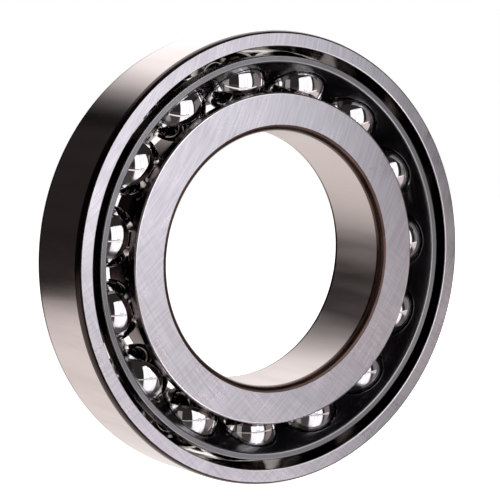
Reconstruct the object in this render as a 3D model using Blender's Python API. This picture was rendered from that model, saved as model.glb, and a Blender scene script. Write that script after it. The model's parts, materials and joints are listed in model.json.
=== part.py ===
"""Single-row angular contact ball bearing, 90 x 160 x 30 mm, 40 degree contact angle.

It stands upright on its outer ring: the axis runs along Y, the open side with
the wide inner-ring face looks towards -Y, and the origin is the centre of the
bearing on its axis. Metres throughout.
"""

import math

import bmesh
import bpy
from mathutils import Matrix, Vector

# Boundary dimensions.
BORE_R = 0.045
OUTER_R = 0.080
HALF_WIDTH = 0.015

# Ball set.
BALL_COUNT = 15
BALL_R = 0.0111125
PITCH_R = 0.0625
CONTACT_ANGLE = math.radians(40.0)
FIRST_BALL_ANGLE = math.radians(98.4)

# Raceways: the grooves are a little wider than the balls and stand off them.
GROOVE_R = 0.01156
RUNNING_GAP = 0.00035
GROOVE_STEPS = 9

# Inner ring, radii of its shoulders and side faces.
INNER_HIGH_R = 0.0585
INNER_LOW_R = 0.0516
INNER_FRONT_FACE_R = 0.0577
INNER_BACK_FACE_R = 0.0506
SHOULDER_BEVEL = 0.0008
BORE_CORNER_RADIAL = 0.0022
BORE_CORNER_AXIAL = 0.0028

# Outer ring, radii of its shoulders and side faces.
OUTER_HIGH_R = 0.0662
OUTER_LOW_R = 0.0732
OUTER_FRONT_BORE_R = 0.0744
OUTER_FRONT_FACE_R = 0.0747
OUTER_BACK_FACE_R = 0.0668
FRONT_CORNER_RADIAL = 0.0010
FRONT_CORNER_AXIAL = 0.0028
BACK_CORNER_RADIAL = 0.0022
BACK_CORNER_AXIAL = 0.0028
EDGE_BREAK = 0.0004
CORNER_STEPS = 3

# Cage: a tapered window ring, section corners as (radius, distance along Y).
CAGE_SECTION = (
    (0.06895, -0.01375),
    (0.07125, -0.0141),
    (0.07130, -0.0084),
    (0.06100, 0.0112),
    (0.06040, 0.0122),
    (0.05510, 0.0122),
    (0.05475, 0.0116),
)
POCKET_TILT = math.radians(30.0)
POCKET_R = 0.01148
POCKET_MOUTH_R = 0.0121
POCKET_FLARE_START = 0.0002
POCKET_FLARE_END = 0.0010
POCKET_REACH = 0.0150

# Facet counts.
RING_SEGMENTS = 72
CAGE_SEGMENTS = 90
POCKET_SEGMENTS = 32
BALL_SEGMENTS = 20
BALL_RINGS = 10
SMOOTH_LIMIT = math.radians(32.0)

# Looks: colour, metallic value and roughness.
RING_STEEL = ((0.58, 0.57, 0.58), 1.0, 0.32)
BALL_STEEL = ((0.78, 0.78, 0.79), 1.0, 0.06)
CAGE_POLYMER = ((0.018, 0.017, 0.018), 0.0, 0.35)


def clear_scene():
    for obj in list(bpy.data.objects):
        bpy.data.objects.remove(obj)


def material(name, look):
    colour, metallic, roughness = look
    made = bpy.data.materials.new(name)
    made.use_nodes = True
    made.diffuse_color = (*colour, 1.0)
    shader = made.node_tree.nodes["Principled BSDF"]
    shader.inputs["Base Color"].default_value = (*colour, 1.0)
    shader.inputs["Metallic"].default_value = metallic
    shader.inputs["Roughness"].default_value = roughness
    return made


def add_object(name, bm, look=None):
    """Turns the bmesh into a named, smooth-shaded object with a material of its own."""
    bmesh.ops.recalc_face_normals(bm, faces=bm.faces)
    mesh = bpy.data.meshes.new(name)
    bm.to_mesh(mesh)
    bm.free()
    mesh.shade_smooth()
    mesh.set_sharp_from_angle(angle=SMOOTH_LIMIT)
    if look is not None:
        mesh.materials.append(material(name, look))
    obj = bpy.data.objects.new(name, mesh)
    bpy.context.scene.collection.objects.link(obj)
    return obj


def lathe(profile, segments):
    """A closed ring about Y from a closed profile of (radius, y) points."""
    bm = bmesh.new()
    rings = []
    for step in range(segments):
        angle = 2.0 * math.pi * step / segments
        cos_a = math.cos(angle)
        sin_a = math.sin(angle)
        rings.append([bm.verts.new((r * cos_a, y, r * sin_a)) for r, y in profile])
    count = len(profile)
    for step in range(segments):
        here = rings[step]
        after = rings[(step + 1) % segments]
        for i in range(count):
            j = (i + 1) % count
            bm.faces.new((here[i], here[j], after[j], after[i]))
    return bm


def corner(centre_r, centre_y, radial, axial, start_deg, end_deg):
    """Points of an elliptical corner; 0 degrees points outwards, 90 towards +Y."""
    points = []
    for step in range(CORNER_STEPS + 1):
        angle = math.radians(start_deg + (end_deg - start_deg) * step / CORNER_STEPS)
        points.append((centre_r + radial * math.cos(angle), centre_y + axial * math.sin(angle)))
    return points


def groove(side, front_r, back_r):
    """Raceway arc from front to back. side is -1 on the inner ring, +1 on the outer."""
    offset = GROOVE_R - BALL_R - RUNNING_GAP
    centre_r = PITCH_R - side * offset * math.cos(CONTACT_ANGLE)
    centre_y = -side * offset * math.sin(CONTACT_ANGLE)
    front_angle = math.acos(side * (front_r - centre_r) / GROOVE_R)
    back_angle = math.acos(side * (back_r - centre_r) / GROOVE_R)
    points = []
    for step in range(GROOVE_STEPS + 1):
        angle = -front_angle + (front_angle + back_angle) * step / GROOVE_STEPS
        radius = centre_r + side * GROOVE_R * math.cos(angle)
        points.append((radius, centre_y + GROOVE_R * math.sin(angle)))
    return points


def inner_ring_profile():
    profile = corner(
        BORE_R + BORE_CORNER_RADIAL,
        -HALF_WIDTH + BORE_CORNER_AXIAL,
        BORE_CORNER_RADIAL,
        BORE_CORNER_AXIAL,
        180.0,
        270.0,
    )
    profile.append((INNER_FRONT_FACE_R, -HALF_WIDTH))
    profile.append((INNER_HIGH_R, -HALF_WIDTH + SHOULDER_BEVEL))
    profile += groove(-1.0, INNER_HIGH_R, INNER_LOW_R)
    profile.append((INNER_LOW_R, HALF_WIDTH - (INNER_LOW_R - INNER_BACK_FACE_R)))
    profile.append((INNER_BACK_FACE_R, HALF_WIDTH))
    profile += corner(
        BORE_R + BORE_CORNER_RADIAL,
        HALF_WIDTH - BORE_CORNER_AXIAL,
        BORE_CORNER_RADIAL,
        BORE_CORNER_AXIAL,
        90.0,
        180.0,
    )
    return profile


def outer_ring_profile():
    profile = [(OUTER_FRONT_FACE_R, -HALF_WIDTH)]
    profile += corner(
        OUTER_R - FRONT_CORNER_RADIAL,
        -HALF_WIDTH + FRONT_CORNER_AXIAL,
        FRONT_CORNER_RADIAL,
        FRONT_CORNER_AXIAL,
        -90.0,
        0.0,
    )
    profile += corner(
        OUTER_R - BACK_CORNER_RADIAL,
        HALF_WIDTH - BACK_CORNER_AXIAL,
        BACK_CORNER_RADIAL,
        BACK_CORNER_AXIAL,
        0.0,
        90.0,
    )
    profile.append((OUTER_BACK_FACE_R, HALF_WIDTH))
    profile.append((OUTER_HIGH_R, HALF_WIDTH - (OUTER_BACK_FACE_R - OUTER_HIGH_R)))
    profile += reversed(groove(1.0, OUTER_LOW_R, OUTER_HIGH_R))
    profile.append((OUTER_FRONT_BORE_R, -HALF_WIDTH + EDGE_BREAK))
    return profile


def ball_angle(index):
    """Balls are numbered clockwise as seen from the front."""
    return FIRST_BALL_ANGLE - 2.0 * math.pi * index / BALL_COUNT


def radial_direction(angle):
    return Vector((math.cos(angle), 0.0, math.sin(angle)))


def pocket_tool(bm, angle):
    """Adds one pocket cutter: a cylinder that flares where it leaves the cage's inner side."""
    outward = radial_direction(angle)
    axis = outward * math.cos(POCKET_TILT) + Vector((0.0, 1.0, 0.0)) * math.sin(POCKET_TILT)
    side = axis.cross(Vector((0.0, 1.0, 0.0))).normalized()
    third = axis.cross(side)
    centre = outward * PITCH_R
    stations = (
        (POCKET_R, POCKET_REACH),
        (POCKET_R, -POCKET_FLARE_START),
        (POCKET_MOUTH_R, -POCKET_FLARE_END),
        (POCKET_MOUTH_R, -POCKET_REACH),
    )
    rings = []
    for radius, height in stations:
        ring = []
        for step in range(POCKET_SEGMENTS):
            turn = 2.0 * math.pi * (step + 0.5) / POCKET_SEGMENTS
            spoke = side * math.cos(turn) + third * math.sin(turn)
            ring.append(bm.verts.new(centre + axis * height + spoke * radius))
        rings.append(ring)
    for low, high in zip(rings, rings[1:]):
        for step in range(POCKET_SEGMENTS):
            after = (step + 1) % POCKET_SEGMENTS
            bm.faces.new((low[step], low[after], high[after], high[step]))
    bm.faces.new(rings[0])
    bm.faces.new(rings[-1])


def build_cage():
    cage = add_object("cage", lathe(CAGE_SECTION, CAGE_SEGMENTS), CAGE_POLYMER)
    tools = bmesh.new()
    for index in range(BALL_COUNT):
        pocket_tool(tools, ball_angle(index))
    cutter = add_object("cage_pocket_cutter", tools)
    cutter.hide_render = True
    cutter.display_type = "WIRE"
    pockets = cage.modifiers.new("pockets", "BOOLEAN")
    pockets.operation = "DIFFERENCE"
    pockets.solver = "EXACT"
    pockets.object = cutter


def build_ball(index):
    bm = bmesh.new()
    bmesh.ops.create_uvsphere(
        bm, u_segments=BALL_SEGMENTS, v_segments=BALL_RINGS, radius=BALL_R
    )
    outward = radial_direction(ball_angle(index))
    spin_axis = (
        Vector((0.0, 1.0, 0.0)) * math.cos(CONTACT_ANGLE) - outward * math.sin(CONTACT_ANGLE)
    )
    ball = add_object(f"ball_{index + 1:02d}", bm, BALL_STEEL)
    turn = spin_axis.to_track_quat("Z", "Y").to_matrix().to_4x4()
    ball.matrix_world = Matrix.Translation(outward * PITCH_R) @ turn


def main():
    clear_scene()
    add_object("outer_ring", lathe(outer_ring_profile(), RING_SEGMENTS), RING_STEEL)
    add_object("inner_ring", lathe(inner_ring_profile(), RING_SEGMENTS), RING_STEEL)
    build_cage()
    for index in range(BALL_COUNT):
        build_ball(index)


main()
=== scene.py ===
"""Looks of the angular contact ball bearing: fine meshes, materials, floor, light and camera.

The bearing stands on its outer ring. Its axis lies along Y and its open side faces -Y.
Shapes are worked out in millimetres and turned into metres when a mesh is made.
"""

import json
import math

import bmesh
import bpy
import numpy as np
from mathutils import Matrix, Vector


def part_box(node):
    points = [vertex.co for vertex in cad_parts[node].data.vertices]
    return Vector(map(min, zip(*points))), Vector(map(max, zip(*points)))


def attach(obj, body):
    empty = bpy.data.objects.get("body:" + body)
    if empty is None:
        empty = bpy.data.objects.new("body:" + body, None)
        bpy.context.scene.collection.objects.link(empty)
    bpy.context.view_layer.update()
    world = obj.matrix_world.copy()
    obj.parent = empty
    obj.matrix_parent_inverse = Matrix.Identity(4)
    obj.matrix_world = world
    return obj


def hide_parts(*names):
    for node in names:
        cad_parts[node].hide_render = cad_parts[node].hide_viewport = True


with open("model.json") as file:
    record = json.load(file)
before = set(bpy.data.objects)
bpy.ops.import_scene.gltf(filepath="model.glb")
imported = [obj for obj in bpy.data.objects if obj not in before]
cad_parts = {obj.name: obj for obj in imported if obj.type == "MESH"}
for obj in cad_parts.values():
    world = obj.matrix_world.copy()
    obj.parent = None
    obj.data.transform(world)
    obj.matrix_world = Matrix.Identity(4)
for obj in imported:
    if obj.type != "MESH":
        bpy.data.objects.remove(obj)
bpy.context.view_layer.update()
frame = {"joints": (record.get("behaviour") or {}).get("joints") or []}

MM = 0.001

# Sizes that the frame gives.
OUTER_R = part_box("outer_ring")[1].x / MM
HALF_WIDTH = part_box("outer_ring")[1].y / MM
BALL_JOINTS = [joint for joint in frame["joints"] if joint["name"].startswith("ball_")]
BALL_COUNT = len(BALL_JOINTS)
PITCH_R = Vector(BALL_JOINTS[0]["pos_m"]).length / MM
FIRST_BALL_ANGLE = math.atan2(BALL_JOINTS[0]["pos_m"][2], BALL_JOINTS[0]["pos_m"][0])
SECTOR = 2 * math.pi / BALL_COUNT

# Balls and raceways.
BALL_R = 11.11
BALL_GRID = 24
CONTACT_ANGLE = math.radians(40.0)
GROOVE_R = 11.56
RUNNING_GAP = 0.30
GROOVE_STEPS = 36
GROOVE_EDGE = 0.15

# Inner ring.
BORE_R = 45.0
INNER_HIGH_R = 58.5
INNER_LOW_R = 51.6
INNER_SHOULDER_BREAK = 0.7
INNER_BACK_BREAK = 1.0

# Outer ring.
OUTER_HIGH_R = 66.2
OUTER_LOW_R = 73.2
OUTER_FRONT_BORE_R = 74.5
OUTER_FRONT_BREAK = 0.4
OUTER_BACK_BREAK = 0.6

# Corner roundings of both rings: (along the axis, along the radius).
BORE_CORNER = (2.8, 2.2)
OUTSIDE_FRONT_CORNER = (2.8, 1.03)
OUTSIDE_BACK_CORNER = (2.8, 2.2)

# Cage section: (radius, y) of the corners, and the rounding of each. The outer back corner lies
# a little further back than in the solid, clear of the balls where the pockets break through it.
CAGE_INNER_FRONT = (68.95, -14.05)
CAGE_RIM_FRONT = (71.25, -14.1)
CAGE_OUTER_FRONT = (71.30, -8.4)
CAGE_OUTER_BACK = (60.75, 11.65)
CAGE_RIM_BACK = (60.40, 12.2)
CAGE_END_BACK = (55.10, 12.2)
CAGE_INNER_BACK = (54.75, 11.6)
RIM_ROUND = 0.4
LIP_ROUND = 0.45
SHOULDER_ROUND = 0.8
BACK_ROUND = 0.3
POCKET_R = 11.46
POCKET_INNER_LIP = 0.75
POCKET_OUTER_LIP = 0.40
POCKET_LOOP = 96
POCKET_ROWS = 7
POCKET_WALL_STEPS = 4
POCKET_LIP_STEPS = 5
POCKET_SOLVE_STEPS = 12
MOUTH_SHARE = 0.96

# Grinding lines of the faces, in metres: centres of their circles, width and lengths of a line,
# and the height over which the second set fades out upwards.
WHEEL_FIRST = (-0.155, 0.0, 0.110)
WHEEL_SECOND = (0.155, 0.0, 0.110)
GRIND_WIDTH = 0.0008
GRIND_LENGTH_FIRST = 0.016
GRIND_LENGTH_SECOND = 0.012
GRIND_FADE_HEIGHT = 0.03
RIM_LINE_WIDTH = 0.0005

# Camera: angles in degrees, offsets of the aim point in metres.
CAMERA_AZIMUTH = -33.55
CAMERA_ELEVATION = 5.9
CAMERA_DISTANCE = 0.7896
CAMERA_RIGHT = 0.00996
CAMERA_UP = -0.00326
CAMERA_LENS = 162.1

# Stage, in metres. The metal sees a table of glowing panels, within a millimetre of the floor
# that only the camera sees; each lift keeps one panel above another.
FLOOR_Z = -OUTER_R * MM
FLOOR_HALF = 0.9
TABLE_Z = FLOOR_Z - 0.001
BACK_LIFT = 0.0002
FRONT_LIFT = 0.0005
SIDE_LIFT = 0.001
EDGE_LIFT = 0.002

# Softbox: azimuth in degrees, distance, size and height of its foot over the floor. Its bright
# core stands just in front of it.
SOFTBOX_AZIMUTH = 13.0
SOFTBOX_DISTANCE = 0.36
SOFTBOX_SIZE = (0.36, 0.34)
SOFTBOX_FOOT = 0.01
CORE_SIZE = (0.07, 0.30)
CORE_GAP = 0.002

# Slanting panels, a backdrop behind the bearing and a glow on the table: centre, size and roll
# in degrees.
BACKDROP_CENTRE = (0.50, 0.36, 0.41)
BACKDROP_SIZE = (1.2, 1.1)
BACKDROP_ROLL = 39.3
TABLE_BACK_CENTRE = (0.277, -0.268)
TABLE_BACK_SIZE = (1.37, 1.25)
TABLE_BACK_ROLL = -65.3

# Light colours.
COOL = (0.95, 0.94, 1.0)
WARM = (1.0, 0.96, 0.93)
PINK = (1.0, 0.93, 0.92)
ROSY = (1.0, 0.86, 0.86)
PAPER = (1.0, 0.98, 0.97)

# Mesh detail: HOLD keeps a run flat next to its ends, and WELD joins points nearer than that.
RING_SEGMENTS = 480
ROUND_STEPS = 8
HOLD = 0.04
LONG_RUN = 12 * HOLD
WELD = 0.002
SMOOTH_ANGLE = math.radians(35.0)


# ---------------------------------------------------------------- mesh tools


def rounded_corner(before, corner, after, cut_in, cut_out, steps=ROUND_STEPS):
    """Points of a rounding that starts cut_in before the corner and ends cut_out after it."""
    corner = Vector(corner)
    start = corner + (Vector(before) - corner).normalized() * cut_in
    end = corner + (Vector(after) - corner).normalized() * cut_out
    centre = start + end - corner
    points = []
    for step in range(steps + 1):
        turn = math.pi / 2 * step / steps
        point = centre + (start - centre) * math.cos(turn) + (end - centre) * math.sin(turn)
        points.append(tuple(point))
    return points


def held(points):
    """The line with a point just inside both ends of each long run, which keeps the run flat."""
    line = []
    for here, after in zip(points, points[1:]):
        line.append(here)
        run = Vector(after) - Vector(here)
        if run.length > LONG_RUN:
            line.append(tuple(Vector(here) + run.normalized() * HOLD))
            line.append(tuple(Vector(after) - run.normalized() * HOLD))
    return line + [points[-1]]


def outline(corners):
    """Closed ring section from (radius, y, cut_in, cut_out, zone of rounding, zone after)."""
    points = []
    zones = []
    for i, (radius, y, cut_in, cut_out, round_zone, zone) in enumerate(corners):
        before = corners[i - 1][:2]
        after = corners[(i + 1) % len(corners)][:2]
        rounding = [(radius, y)]
        if cut_in > 0:
            rounding = rounded_corner(before, (radius, y), after, cut_in, cut_out)
        points += rounding
        zones += [round_zone] * (len(rounding) - 1) + [zone]
    section = []
    section_zones = []
    for i, point in enumerate(points):
        run = held([point, points[(i + 1) % len(points)]])[:-1]
        section += run
        section_zones += [zones[i]] * len(run)
    return section, section_zones


def make_object(name, vertices, faces, zones, looks):
    """Smooth-shaded object from millimetre vertices; looks gives each zone its material."""
    mesh = bpy.data.meshes.new(name)
    mesh.from_pydata([(x * MM, y * MM, z * MM) for x, y, z in vertices], [], faces)
    names = sorted(set(zones))
    for zone in names:
        mesh.materials.append(looks[zone])
    mesh.polygons.foreach_set("material_index", [names.index(zone) for zone in zones])
    bm = bmesh.new()
    bm.from_mesh(mesh)
    bmesh.ops.remove_doubles(bm, verts=bm.verts, dist=WELD * MM)
    bmesh.ops.recalc_face_normals(bm, faces=bm.faces)
    bm.to_mesh(mesh)
    bm.free()
    mesh.shade_smooth()
    mesh.set_sharp_from_angle(angle=SMOOTH_ANGLE)
    obj = bpy.data.objects.new(name, mesh)
    bpy.context.scene.collection.objects.link(obj)
    return obj


def turned(name, section, zones, looks):
    """A ring turned about Y from a closed (radius, y) section."""
    count = len(section)
    turns = 2 * math.pi * np.arange(RING_SEGMENTS) / RING_SEGMENTS
    radii = np.array([point[0] for point in section])
    xs = np.outer(np.cos(turns), radii).ravel()
    zs = np.outer(np.sin(turns), radii).ravel()
    ys = np.tile([point[1] for point in section], RING_SEGMENTS)
    faces = []
    for segment in range(RING_SEGMENTS):
        here = segment * count
        after = (segment + 1) % RING_SEGMENTS * count
        for i in range(count):
            j = (i + 1) % count
            faces.append((here + i, here + j, after + j, after + i))
    return make_object(name, zip(xs, ys, zs), faces, zones * RING_SEGMENTS, looks)


def show_as(obj, body):
    """obj rides on the body and stands for the CAD node of the same name."""
    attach(obj, body)
    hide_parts(body)


# ---------------------------------------------------------------- rings


def raceway(side, front_r, back_r):
    """Groove points from front to back; side is -1 on the inner ring and +1 on the outer."""
    offset = GROOVE_R - BALL_R - RUNNING_GAP
    centre_r = PITCH_R - side * offset * math.cos(CONTACT_ANGLE)
    centre_y = -side * offset * math.sin(CONTACT_ANGLE)
    front = -math.acos(side * (front_r - centre_r) / GROOVE_R)
    back = math.acos(side * (back_r - centre_r) / GROOVE_R)
    points = []
    for step in range(GROOVE_STEPS + 1):
        turn = front + (back - front) * step / GROOVE_STEPS
        radius = centre_r + side * GROOVE_R * math.cos(turn)
        points.append((radius, centre_y + GROOVE_R * math.sin(turn)))
    return points


def raceway_corners(points, zone_after):
    """The groove as section corners, with a small edge break at both ends."""
    corners = [(*points[0], GROOVE_EDGE, GROOVE_EDGE, "race", "race")]
    corners += [(*point, 0, 0, "race", "race") for point in points[1:-1]]
    corners.append((*points[-1], GROOVE_EDGE, GROOVE_EDGE, "race", zone_after))
    return corners


def build_inner_ring(looks):
    along, across = BORE_CORNER
    w = HALF_WIDTH
    corners = [
        (BORE_R, -w, along, across, "bore_corner", "face"),
        (INNER_HIGH_R, -w, INNER_SHOULDER_BREAK, INNER_SHOULDER_BREAK, "break", "land"),
    ]
    corners += raceway_corners(raceway(-1, INNER_HIGH_R, INNER_LOW_R), "land")
    corners += [
        (INNER_LOW_R, w, INNER_BACK_BREAK, INNER_BACK_BREAK, "break", "face"),
        (BORE_R, w, across, along, "bore_corner", "bore"),
    ]
    ring = turned("inner_ring_body", *outline(corners), looks)
    show_as(ring, "inner_ring")


def build_outer_ring(looks):
    front_along, front_across = OUTSIDE_FRONT_CORNER
    back_along, back_across = OUTSIDE_BACK_CORNER
    w = HALF_WIDTH
    corners = [
        (OUTER_FRONT_BORE_R, -w, OUTER_FRONT_BREAK, OUTER_FRONT_BREAK, "break", "face"),
        (OUTER_R, -w, front_across, front_along, "corner", "outside"),
        (OUTER_R, w, back_along, back_across, "corner", "face"),
        (OUTER_HIGH_R, w, OUTER_BACK_BREAK, OUTER_BACK_BREAK, "break", "land"),
    ]
    corners += raceway_corners(raceway(1, OUTER_LOW_R, OUTER_HIGH_R)[::-1], "land")
    ring = turned("outer_ring_body", *outline(corners), looks)
    show_as(ring, "outer_ring")


# ---------------------------------------------------------------- balls


def build_ball(joint, looks):
    """A ball as a cube grid pushed out to the sphere, with the grid's Z along its spin axis."""
    index = {}
    vertices = []
    faces = []
    centre = Vector(joint["pos_m"]) / MM
    turn = Vector(joint["axis"]).to_track_quat("Z", "Y").to_matrix()

    def vertex(cube_point):
        if cube_point not in index:
            index[cube_point] = len(vertices)
            spread = [math.tan(math.pi / 4 * (2 * c / BALL_GRID - 1)) for c in cube_point]
            vertices.append(centre + turn @ (Vector(spread).normalized() * BALL_R))
        return index[cube_point]

    for axis in range(3):
        for level in (0, BALL_GRID):
            for i in range(BALL_GRID):
                for j in range(BALL_GRID):
                    square = []
                    for a, b in ((i, j), (i + 1, j), (i + 1, j + 1), (i, j + 1)):
                        cube_point = [a, b]
                        cube_point.insert(axis, level)
                        square.append(vertex(tuple(cube_point)))
                    faces.append(square)
    name = joint["child"]
    ball = make_object(name + "_body", vertices, faces, ["ball"] * len(faces), looks)
    ball.data.transform(Matrix.Translation(-centre * MM))
    ball.location = centre * MM
    show_as(ball, name)


# ---------------------------------------------------------------- cage


class CageMesh:
    """Vertices and faces of the cage, gathered sector by sector."""

    def __init__(self):
        self.vertices = []
        self.faces = []
        self.zones = []

    def row(self, turn, points):
        """Adds points of the sector on +X, turned about Y to their own sector."""
        cos_t = math.cos(turn)
        sin_t = math.sin(turn)
        first = len(self.vertices)
        for x, y, z in points:
            self.vertices.append((x * cos_t - z * sin_t, y, x * sin_t + z * cos_t))
        return list(range(first, len(self.vertices)))

    def strip(self, row_a, row_b, zone, closed=True):
        last = len(row_a) if closed else len(row_a) - 1
        for i in range(last):
            j = (i + 1) % len(row_a)
            self.faces.append((row_a[i], row_a[j], row_b[j], row_b[i]))
            self.zones.append(zone)


class CageSide:
    """One of the two cone-shaped sides of the cage, around the pocket on +X.

    inward is +1 on the inner side and -1 on the outer: the way into the wall along the pocket.
    """

    def __init__(self, front, back, tilt, lip, inward):
        self.front = front
        self.back = back
        self.tilt = tilt
        self.lip = lip
        self.inward = inward

    def radius_at(self, y):
        share = (y - self.front[1]) / (self.back[1] - self.front[1])
        return self.front[0] + (self.back[0] - self.front[0]) * share

    def pocket_edge(self, radius, turn):
        """Point of this side at a radius and turn about the pocket's axis, and that axis."""
        axis = np.array([math.cos(self.tilt), math.sin(self.tilt), 0.0])
        along = np.array([-math.sin(self.tilt), math.cos(self.tilt), 0.0])
        around = np.array([0.0, 0.0, 1.0])
        point = np.array([PITCH_R, 0.0, 0.0])
        point = point + radius * (math.cos(turn) * around + math.sin(turn) * along)
        for _ in range(POCKET_SOLVE_STEPS):
            gap = math.hypot(point[0], point[2]) - self.radius_at(point[1])
            point = point - axis * gap * math.cos(self.tilt)
        return point, axis

    def lip_points(self, turn):
        """Rounded pocket edge, from this side to the pocket wall, kept in front of its back end."""
        points = []
        for step in range(POCKET_LIP_STEPS + 1):
            t = math.pi / 2 * (1 - step / POCKET_LIP_STEPS)
            spread = POCKET_R + self.lip * (1 - math.cos(t))
            point, axis = self.pocket_edge(spread, turn)
            point = point + axis * self.inward * self.lip * (1 - math.sin(t))
            point[1] = min(point[1], self.back[1])
            points.append(point)
        return points

    def patch(self, turns, mouth):
        """Rows of points on this side, from the sector's border to the pocket's mouth.

        Also gives the turn about Y of each border point.
        """
        mouth_y = np.array([point[1] for point in mouth])
        mouth_t = np.array([math.atan2(point[2], point[0]) for point in mouth])
        centre_y = (mouth_y.max() + mouth_y.min()) / 2
        border_y = []
        border_t = []
        for turn in turns:
            across = math.cos(turn)
            along = math.sin(turn)
            reach = max(abs(across), abs(along))
            end = self.back[1] if along > 0 else self.front[1]
            border_t.append(across / reach * SECTOR / 2)
            border_y.append(centre_y + (end - centre_y) * abs(along) / reach)
        border_y = np.array(border_y)
        border_t = np.array(border_t)
        shares = [row / POCKET_ROWS for row in range(POCKET_ROWS)] + [MOUTH_SHARE]
        rows = []
        for share in shares:
            ys = border_y + (mouth_y - border_y) * share
            ts = border_t + (mouth_t - border_t) * share
            rows.append([self.at(y, t) for y, t in zip(ys, ts)])
        return rows, border_t

    def at(self, y, t):
        radius = self.radius_at(y)
        return (radius * math.cos(t), y, radius * math.sin(t))


def cage_rims():
    """Rim face, collar behind it, and back rim, each as (radius, y) points in outline order."""
    front = rounded_corner(
        CAGE_INNER_BACK, CAGE_INNER_FRONT, CAGE_RIM_FRONT, LIP_ROUND, LIP_ROUND
    )
    front += rounded_corner(
        CAGE_INNER_FRONT, CAGE_RIM_FRONT, CAGE_OUTER_FRONT, RIM_ROUND, RIM_ROUND
    )
    collar = [front[-1]]
    collar += rounded_corner(
        CAGE_RIM_FRONT, CAGE_OUTER_FRONT, CAGE_OUTER_BACK, SHOULDER_ROUND, SHOULDER_ROUND
    )
    back = rounded_corner(
        CAGE_OUTER_FRONT, CAGE_OUTER_BACK, CAGE_RIM_BACK, BACK_ROUND, BACK_ROUND
    )
    back += rounded_corner(
        CAGE_OUTER_BACK, CAGE_RIM_BACK, CAGE_END_BACK, BACK_ROUND, BACK_ROUND
    )
    back += rounded_corner(
        CAGE_RIM_BACK, CAGE_END_BACK, CAGE_INNER_BACK, BACK_ROUND, BACK_ROUND
    )
    back.append(CAGE_INNER_BACK)
    return held(front), held(collar), held(back)


def pocket_rows(inner, outer, turns):
    """Rows of points round the pocket on +X, from the inner side through its wall to the outer.

    Also gives the turn about Y of each point on the sector's border.
    """
    inner_lips = [inner.lip_points(turn) for turn in turns]
    outer_lips = [outer.lip_points(turn) for turn in turns]
    inner_rows, border_t = inner.patch(turns, [lip[0] for lip in inner_lips])
    outer_rows, _ = outer.patch(turns, [lip[0] for lip in outer_lips])
    steps = range(POCKET_LIP_STEPS + 1)
    rows = inner_rows + [[lip[s] for lip in inner_lips] for s in steps]
    for step in range(1, POCKET_WALL_STEPS):
        share = step / POCKET_WALL_STEPS
        pairs = zip(inner_lips, outer_lips)
        rows.append([a[-1] + (b[-1] - a[-1]) * share for a, b in pairs])
    rows += [[lip[s] for lip in outer_lips] for s in reversed(steps)]
    rows += outer_rows[::-1]
    return rows, border_t


def add_band(mesh, sector_turn, section, across, zone):
    """A sector's stretch of rim or collar; on a rim, the short runs of its roundings are edges."""
    lines = []
    for radius, y in section:
        points = [(radius * math.cos(t), y, radius * math.sin(t)) for t in across]
        lines.append(mesh.row(sector_turn, points))
    for i, (line_a, line_b) in enumerate(zip(lines, lines[1:])):
        run = (Vector(section[i + 1]) - Vector(section[i])).length
        # The rim's roundings take the edge look, whose paler colour is a painted highlight.
        strip_zone = "edge" if zone == "rim" and run < RIM_ROUND else zone
        mesh.strip(line_a, line_b, strip_zone, closed=False)


def build_cage(looks):
    """A tapered ring with one round pocket a ball, built sector by sector."""
    front, collar, back = cage_rims()
    run = Vector(CAGE_INNER_BACK) - Vector(CAGE_INNER_FRONT)
    tilt = math.atan2(-run.x, run.y)
    inner = CageSide(front[0], back[-1], tilt, POCKET_INNER_LIP, 1.0)
    outer = CageSide(collar[-1], back[0], tilt, POCKET_OUTER_LIP, -1.0)
    turns = [2 * math.pi * i / POCKET_LOOP for i in range(POCKET_LOOP)]
    rows, border_t = pocket_rows(inner, outer, turns)
    eighth = POCKET_LOOP // 8
    back_across = border_t[eighth : 3 * eighth + 1]
    front_across = border_t[5 * eighth : 7 * eighth + 1]

    mesh = CageMesh()
    for number in range(BALL_COUNT):
        sector_turn = FIRST_BALL_ANGLE - SECTOR * number
        placed = [mesh.row(sector_turn, row) for row in rows]
        for row_a, row_b in zip(placed, placed[1:]):
            mesh.strip(row_a, row_b, "side")
        add_band(mesh, sector_turn, front, front_across, "rim")
        add_band(mesh, sector_turn, collar, front_across, "side")
        add_band(mesh, sector_turn, back, back_across, "rim")
    cage = make_object("cage_body", mesh.vertices, mesh.faces, mesh.zones, looks)
    show_as(cage, "cage")


# ---------------------------------------------------------------- materials


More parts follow.
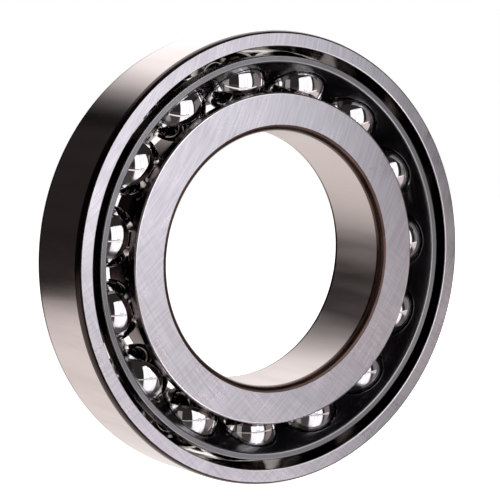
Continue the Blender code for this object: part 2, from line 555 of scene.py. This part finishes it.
class Look:
    """A material with a Principled shader, and short ways to add nodes to it."""

    def __init__(self, name, colour, metallic, roughness):
        self.material = bpy.data.materials.new(name)
        self.material.use_nodes = True
        self.tree = self.material.node_tree
        self.shader = self.tree.nodes["Principled BSDF"]
        self.shader.inputs["Base Color"].default_value = (*colour, 1.0)
        self.shader.inputs["Metallic"].default_value = metallic
        self.shader.inputs["Roughness"].default_value = roughness
        self.position = self.node("ShaderNodeTexCoord").outputs["Object"]

    def node(self, kind, **settings):
        made = self.tree.nodes.new(kind)
        for key, value in settings.items():
            setattr(made, key, value)
        return made

    def set(self, socket, value):
        """Joins an output to the socket, or sets the socket to a number or a vector."""
        if isinstance(value, bpy.types.NodeSocket):
            self.tree.links.new(value, socket)
        else:
            socket.default_value = value

    def math(self, operation, a, b=0.0):
        node = self.node("ShaderNodeMath", operation=operation)
        self.set(node.inputs[0], a)
        self.set(node.inputs[1], b)
        return node.outputs[0]

    def vector_math(self, operation, a, b, output="Vector"):
        node = self.node("ShaderNodeVectorMath", operation=operation)
        self.set(node.inputs[0], a)
        self.set(node.inputs[1], b)
        return node.outputs[output]

    def scaled(self, scale):
        """Position times a scale per metre along each axis."""
        return self.vector_math("MULTIPLY", self.position, scale)

    def noise(self, vector, scale=1.0, detail=2.0, roughness=0.5):
        node = self.node("ShaderNodeTexNoise")
        self.set(node.inputs["Vector"], vector)
        node.inputs["Scale"].default_value = scale
        node.inputs["Detail"].default_value = detail
        node.inputs["Roughness"].default_value = roughness
        return node.outputs["Fac"]

    def spread(self, value, low, high, to_low=0.0, to_high=1.0):
        """value taken from low..high to to_low..to_high, with soft ends."""
        node = self.node("ShaderNodeMapRange", interpolation_type="SMOOTHSTEP")
        self.set(node.inputs["Value"], value)
        node.inputs["From Min"].default_value = low
        node.inputs["From Max"].default_value = high
        self.set(node.inputs["To Min"], to_low)
        self.set(node.inputs["To Max"], to_high)
        return node.outputs["Result"]

    def blend(self, share, a, b):
        """Colour a where share is 0 and b where it is 1."""
        node = self.node("ShaderNodeMix", data_type="RGBA")
        self.set(node.inputs["Factor"], share)
        for socket, value in ((node.inputs["A"], a), (node.inputs["B"], b)):
            self.set(socket, value if isinstance(value, bpy.types.NodeSocket) else (*value, 1.0))
        return node.outputs["Result"]

    def colour(self, value):
        self.set(self.shader.inputs["Base Color"], value)

    def roughness(self, value):
        self.set(self.shader.inputs["Roughness"], value)

    def bump(self, height, depth, strength=1.0):
        """Bumps of the given depth in metres; a second call adds to the first."""
        node = self.node("ShaderNodeBump")
        node.inputs["Strength"].default_value = strength
        node.inputs["Distance"].default_value = depth
        self.set(node.inputs["Height"], height)
        into = self.shader.inputs["Normal"]
        if into.is_linked:
            self.set(node.inputs["Normal"], into.links[0].from_socket)
        self.set(into, node.outputs["Normal"])

    def turned_grain(self, amount, turn=0.0):
        """Stretches highlights round the Y axis, or across it when turn is a quarter."""
        tangent = self.node("ShaderNodeTangent", direction_type="RADIAL", axis="Y")
        self.set(self.shader.inputs["Tangent"], tangent.outputs["Tangent"])
        self.shader.inputs["Anisotropic"].default_value = amount
        self.shader.inputs["Anisotropic Rotation"].default_value = turn

    def arcs(self, centre, width, length, detail):
        """Noise in lines that follow circles about centre, in the plane of a face.

        width and length are those of a line in metres; about the origin the lines are full rings.
        """
        flat = self.vector_math("MULTIPLY", self.position, (1.0, 0.0, 1.0))
        offset = self.vector_math("SUBTRACT", flat, centre)
        reach = self.vector_math("LENGTH", offset, (0.0, 0.0, 0.0), output="Value")
        parts = self.node("ShaderNodeSeparateXYZ")
        self.set(parts.inputs[0], offset)
        turn = self.math("ARCTAN2", parts.outputs["Z"], parts.outputs["X"])
        place = self.node("ShaderNodeCombineXYZ")
        self.set(place.inputs["X"], self.math("MULTIPLY", reach, 1.0 / width))
        self.set(place.inputs["Y"], self.math("MULTIPLY", turn, Vector(centre).length / length))
        return self.noise(place.outputs[0], detail=detail, roughness=0.6)


def face_steel(name, colour):
    """Ground flat face: long faint arcs left by the wheel, crossed by a second set lower down."""
    look = Look(name, colour, 1.0, 0.30)
    first = look.arcs(WHEEL_FIRST, GRIND_WIDTH, GRIND_LENGTH_FIRST, 1.0)
    second = look.arcs(WHEEL_SECOND, GRIND_WIDTH, GRIND_LENGTH_SECOND, 1.0)
    parts = look.node("ShaderNodeSeparateXYZ")
    look.set(parts.inputs[0], look.position)
    lower = look.spread(parts.outputs["Z"], GRIND_FADE_HEIGHT, -GRIND_FADE_HEIGHT, 0.15, 1.0)
    crossing = look.math("MULTIPLY", look.math("SUBTRACT", second, 0.5), lower)
    lines = look.math("ADD", first, crossing)
    shade = look.spread(lines, 0.25, 0.75)
    dark = tuple(0.83 * c for c in colour)
    look.colour(look.blend(shade, dark, colour))
    cloud = look.noise(look.position, scale=90.0, detail=3.0)
    look.roughness(look.spread(cloud, 0.3, 0.7, 0.26, 0.34))
    look.bump(lines, 0.000004)
    return look.material


def round_steel(name, colour, roughness, grain):
    """Ground cylinder: fine lines round the axis, and soft clouds from handling."""
    look = Look(name, colour, 1.0, roughness)
    lines = look.noise(look.scaled((50.0, 7000.0, 50.0)), detail=3.0, roughness=0.7)
    cloud = look.noise(look.scaled((110.0, 14.0, 110.0)), detail=4.0, roughness=0.6)
    dark = tuple(0.85 * c for c in colour)
    look.colour(look.blend(look.spread(cloud, 0.3, 0.7), dark, colour))
    look.roughness(look.spread(cloud, 0.3, 0.7, roughness * 0.85, roughness * 1.2))
    look.turned_grain(grain)
    look.bump(lines, 0.0000015)
    return look.material


def corner_steel(name, colour, roughness):
    """Turned corner or shoulder with its brown heat-treatment scale, under a trace of oil."""
    look = Look(name, colour, 1.0, roughness)
    blotch = look.noise(look.scaled((110.0, 260.0, 110.0)), detail=4.0, roughness=0.6)
    lines = look.noise(look.scaled((60.0, 3000.0, 60.0)), detail=2.0)
    dark = tuple(0.6 * c for c in colour)
    look.colour(look.blend(look.spread(blotch, 0.35, 0.7), dark, colour))
    look.roughness(look.spread(blotch, 0.3, 0.7, roughness * 0.8, roughness * 1.25))
    look.shader.inputs["Coat Weight"].default_value = 0.15
    look.shader.inputs["Coat Roughness"].default_value = 0.12
    look.shader.inputs["Coat IOR"].default_value = 1.8
    look.bump(lines, 0.000004)
    return look.material


def race_steel():
    """Honed raceway with faint running tracks."""
    look = Look("race_steel", (0.60, 0.58, 0.57), 1.0, 0.05)
    lines = look.noise(look.scaled((40.0, 5000.0, 40.0)), detail=3.0, roughness=0.65)
    cloud = look.noise(look.position, scale=120.0, detail=3.0)
    look.colour(look.blend(look.spread(cloud, 0.3, 0.7), (0.52, 0.50, 0.49), (0.62, 0.60, 0.59)))
    look.roughness(look.spread(lines, 0.25, 0.75, 0.03, 0.08))
    look.bump(lines, 0.000001)
    return look.material


def ball_steel():
    """Lapped ball: nearly a mirror, with a faint haze and hair scratches."""
    look = Look("ball_steel", (0.78, 0.77, 0.77), 1.0, 0.03)
    haze = look.noise(look.position, scale=260.0, detail=4.0, roughness=0.6)
    hair = look.noise(look.scaled((900.0, 900.0, 9000.0)), detail=2.0)
    look.colour(look.blend(look.spread(haze, 0.3, 0.75), (0.80, 0.79, 0.79), (0.74, 0.73, 0.73)))
    look.roughness(look.spread(haze, 0.35, 0.75, 0.02, 0.05))
    look.bump(hair, 0.0000004)
    return look.material


def side_polymer():
    """Moulded black polyamide: smooth skin with a slight orange peel."""
    look = Look("cage_side_polymer", (0.010, 0.010, 0.011), 0.0, 0.18)
    look.shader.inputs["IOR"].default_value = 1.7
    grain = look.noise(look.position, scale=1800.0, detail=3.0, roughness=0.6)
    cloud = look.noise(look.position, scale=120.0, detail=3.0)
    shade = look.spread(cloud, 0.3, 0.7)
    look.colour(look.blend(shade, (0.006, 0.006, 0.007), (0.011, 0.010, 0.012)))
    look.roughness(look.spread(cloud, 0.3, 0.7, 0.16, 0.24))
    look.bump(grain, 0.000004, 0.4)
    return look.material


def rim_polymer():
    """Cage rim: the same polymer with a speckled skin in fine rings, painted paler than the sides
    as the light its face catches.
    """
    look = Look("cage_rim_polymer", (0.20, 0.19, 0.21), 0.0, 0.42)
    look.shader.inputs["IOR"].default_value = 1.95
    look.shader.inputs["Specular IOR Level"].default_value = 1.0
    speck = look.noise(look.position, scale=2600.0, detail=3.0, roughness=0.7)
    cloud = look.noise(look.position, scale=200.0, detail=3.0)
    rings = look.arcs((0.0, 0.0, 0.0), RIM_LINE_WIDTH, 1.0, 1.0)
    shade = look.spread(look.math("ADD", speck, rings), 0.75, 1.35)
    # Painted light: these colours are paler than the sides' to stand for the light on the rim's
    # face; the speckles and rings in them are the rim's own.
    look.colour(look.blend(shade, (0.018, 0.015, 0.018), (0.06, 0.053, 0.062)))
    look.roughness(look.spread(cloud, 0.3, 0.7, 0.32, 0.38))
    look.turned_grain(0.9, 0.25)
    look.bump(speck, 0.00001, 0.6)
    return look.material


def edge_polymer():
    """Rounded edges of the cage rims: glossy, and painted paler than the rim as a highlight along
    each edge.
    """
    look = Look("cage_edge_painted_highlight", (0.06, 0.055, 0.062), 0.0, 0.15)
    look.shader.inputs["IOR"].default_value = 3.2
    cloud = look.noise(look.position, scale=400.0, detail=3.0)
    shade = look.spread(cloud, 0.3, 0.7)
    # Painted highlight: these colours are paler than the rim's, so the edges read as thin bright
    # lines.
    look.colour(look.blend(shade, (0.04, 0.037, 0.041), (0.09, 0.083, 0.093)))
    look.roughness(look.spread(cloud, 0.3, 0.7, 0.10, 0.18))
    look.bump(cloud, 0.000003)
    return look.material


def make_looks():
    """Material of each zone of each piece."""
    face = face_steel("face_steel", (0.59, 0.57, 0.595))
    corner = corner_steel("corner_steel", (0.040, 0.024, 0.021), 0.26)
    bore_corner = corner_steel("bore_corner_steel", (0.11, 0.062, 0.048), 0.28)
    land = corner_steel("land_steel", (0.12, 0.075, 0.07), 0.22)
    outside = round_steel("outside_steel", (0.60, 0.525, 0.52), 0.18, 0.5)
    bore = round_steel("bore_steel", (0.63, 0.56, 0.55), 0.36, 0.5)
    # Painted highlight: the edge breaks are paler steel than the faces, so they read as thin bright
    # lines.
    edge = round_steel("edge_steel_painted_highlight", (0.80, 0.76, 0.76), 0.14, 0.0)
    rings = {
        "face": face,
        "corner": corner,
        "bore_corner": bore_corner,
        "land": land,
        "outside": outside,
        "bore": bore,
        "break": edge,
        "race": race_steel(),
    }
    cage = {"side": side_polymer(), "rim": rim_polymer(), "edge": edge_polymer()}
    return rings, {"ball": ball_steel()}, cage


# ---------------------------------------------------------------- stage


def heading(azimuth, elevation):
    """Unit direction from the bearing; azimuth 0 is in front of it, and 90 on its right."""
    a = math.radians(azimuth)
    e = math.radians(elevation)
    return Vector((math.sin(a) * math.cos(e), -math.cos(a) * math.cos(e), math.sin(e)))


def glow(name, colour, strength, soft_edge, border=0.0):
    """Emission that fades to border at the edges of a panel from -1 to 1; soft_edge is (x, y)."""
    look = Look(name, (0.0, 0.0, 0.0), 0.0, 1.0)
    look.shader.inputs["Specular IOR Level"].default_value = 0.0
    look.shader.inputs["Emission Color"].default_value = (*colour, 1.0)
    parts = look.node("ShaderNodeSeparateXYZ")
    look.set(parts.inputs[0], look.position)
    shares = []
    for side, soft in zip(("X", "Y"), soft_edge):
        reach = look.math("ABSOLUTE", parts.outputs[side])
        shares.append(look.spread(reach, 1.0 - soft, 1.0, 1.0, 0.0))
    share = look.math("MULTIPLY", shares[0], shares[1])
    amount = look.spread(share, 0.0, 1.0, border, strength)
    look.set(look.shader.inputs["Emission Strength"], amount)
    return look.material


def panel(name, centre, facing, size, material, roll=0.0):
    """A rectangle that the camera doesn't see, facing a direction, rolled about it in degrees."""
    mesh = bpy.data.meshes.new(name)
    corners = [(-1, -1, 0), (1, -1, 0), (1, 1, 0), (-1, 1, 0)]
    mesh.from_pydata(corners, [], [(0, 1, 2, 3)])
    mesh.materials.append(material)
    obj = bpy.data.objects.new(name, mesh)
    bpy.context.scene.collection.objects.link(obj)
    turn = facing.to_track_quat("Z", "Y").to_matrix().to_4x4()
    scale = Matrix.Diagonal((size[0] / 2, size[1] / 2, 1.0, 1.0))
    spin = Matrix.Rotation(math.radians(roll), 4, "Z")
    obj.matrix_world = Matrix.Translation(centre) @ turn @ spin @ scale
    obj.visible_camera = False
    return obj


def table_panel(name, low, high, material, lift=0.0):
    """A rectangle on the table from corner low to corner high, as the metal sees it."""
    centre = Vector(((low[0] + high[0]) / 2, (low[1] + high[1]) / 2, TABLE_Z + lift))
    size = (high[0] - low[0], high[1] - low[1])
    return panel(name, centre, Vector((0.0, 0.0, 1.0)), size, material)


def table_gloss():
    """Polished table top in front of the bearing, which mirrors the softbox at a low angle."""
    look = Look("table_gloss", (1.0, 0.96, 0.97), 1.0, 0.22)
    look.shader.inputs["Emission Color"].default_value = (1.0, 0.93, 0.92, 1.0)
    look.shader.inputs["Emission Strength"].default_value = 0.04
    return look.material


def build_floor():
    """Pale table that only the camera sees."""
    half = FLOOR_HALF
    mesh = bpy.data.meshes.new("floor")
    corners = [(-half, -half, FLOOR_Z), (half, -half, FLOOR_Z)]
    corners += [(half, half, FLOOR_Z), (-half, half, FLOOR_Z)]
    mesh.from_pydata(corners, [], [(0, 1, 2, 3)])
    look = Look("floor_white", (0.80, 0.79, 0.79), 0.0, 0.5)
    look.shader.inputs["Emission Color"].default_value = (1.0, 0.98, 0.97, 1.0)
    look.shader.inputs["Emission Strength"].default_value = 1.0
    mesh.materials.append(look.material)
    obj = bpy.data.objects.new("floor", mesh)
    bpy.context.scene.collection.objects.link(obj)
    obj.visible_glossy = False
    obj.visible_diffuse = False


def build_world():
    """White behind everything the camera sees, nearly dark in reflections."""
    world = bpy.data.worlds.new("studio")
    bpy.context.scene.world = world
    world.use_nodes = True
    tree = world.node_tree
    dark = tree.nodes["Background"]
    dark.inputs["Color"].default_value = (0.030, 0.026, 0.026, 1.0)
    white = tree.nodes.new("ShaderNodeBackground")
    white.inputs["Color"].default_value = (1.0, 1.0, 1.0, 1.0)
    ray = tree.nodes.new("ShaderNodeLightPath")
    mix = tree.nodes.new("ShaderNodeMixShader")
    tree.links.new(ray.outputs["Is Camera Ray"], mix.inputs["Fac"])
    tree.links.new(dark.outputs[0], mix.inputs[1])
    tree.links.new(white.outputs[0], mix.inputs[2])
    tree.links.new(mix.outputs[0], tree.nodes["World Output"].inputs["Surface"])


def build_softbox():
    front = heading(SOFTBOX_AZIMUTH, 0.0)
    centre = front * SOFTBOX_DISTANCE
    centre.z = FLOOR_Z + SOFTBOX_SIZE[1] / 2 + SOFTBOX_FOOT
    box = glow("softbox", COOL, 1.4, (0.05, 0.05))
    panel("softbox", centre, -front, SOFTBOX_SIZE, box)
    core = glow("softbox_core", COOL, 3.5, (0.6, 0.2))
    panel("softbox_core", centre - front * CORE_GAP, -front, CORE_SIZE, core)


def build_backdrop():
    """Bright paper behind, above and to the right, whose slanting edge shows in the metal."""
    paper = glow("backdrop", PAPER, 1.6, (0.36, 0.05))
    centre = Vector(BACKDROP_CENTRE)
    panel("backdrop", centre, Vector((0, -1, 0)), BACKDROP_SIZE, paper, BACKDROP_ROLL)


def build_table():
    """What the metal sees of the table: a strong glow behind, a mirror in front, and its sides."""
    left = glow("table_left", WARM, 0.3, (0.02, 0.1))
    table_panel("table_left", (-0.7, -0.02), (-0.24, 0.34), left)
    back = glow("table_back", WARM, 1.08, (0.25, 0.02), 0.6)
    centre = Vector((*TABLE_BACK_CENTRE, TABLE_Z + BACK_LIFT))
    panel("table_back", centre, Vector((0, 0, 1)), TABLE_BACK_SIZE, back, TABLE_BACK_ROLL)
    table_panel("table_front", (-0.7, -1.0), (1.2, -0.02), table_gloss(), FRONT_LIFT)
    side = glow("table_right", ROSY, 0.8, (0.3, 0.3), 0.45)
    table_panel("table_right", (0.17, -0.42), (0.50, -0.05), side, SIDE_LIFT)
    edge = glow("table_edge", PINK, 1.3, (0.1, 0.15))
    table_panel("table_edge", (-0.7, -0.38), (0.7, -0.30), edge, EDGE_LIFT)


def build_room():
    """Faint walls and ceiling, each as azimuth, elevation, distance, size and glow."""
    walls = (
        ("room_right", 75.0, 5.0, 1.0, (1.2, 0.9), ROSY, 0.24, 0.3),
        ("room_left", -57.0, 5.0, 0.8, (0.28, 0.7), WARM, 0.35, 0.2),
        ("ceiling", 0.0, 85.0, 1.2, (0.9, 0.9), PINK, 0.25, 0.4),
    )
    for name, azimuth, elevation, distance, size, colour, strength, soft in walls:
        way = heading(azimuth, elevation)
        light = glow(name, colour, strength, (soft, soft))
        panel(name, way * distance, -way, size, light)


# ---------------------------------------------------------------- camera


def build_camera():
    forward = -heading(CAMERA_AZIMUTH, CAMERA_ELEVATION)
    right = forward.cross(Vector((0.0, 0.0, 1.0))).normalized()
    up = right.cross(forward)
    aim = Vector((0.0, -HALF_WIDTH * MM, 0.0))
    place = aim - forward * CAMERA_DISTANCE - right * CAMERA_RIGHT - up * CAMERA_UP
    camera = bpy.data.cameras.new("camera")
    camera.lens = CAMERA_LENS
    camera.sensor_width = 36.0
    camera.clip_start = 0.01
    obj = bpy.data.objects.new("camera", camera)
    bpy.context.scene.collection.objects.link(obj)
    turn = Matrix((right, up, -forward)).transposed().to_4x4()
    obj.matrix_world = Matrix.Translation(place) @ turn
    bpy.context.scene.camera = obj


def main():
    rings, balls, cage = make_looks()
    build_outer_ring(rings)
    build_inner_ring(rings)
    build_cage(cage)
    for joint in BALL_JOINTS:
        build_ball(joint, balls)
    build_floor()
    build_world()
    build_softbox()
    build_backdrop()
    build_table()
    build_room()
    build_camera()
    bpy.context.scene.view_settings.view_transform = "Standard"


main()
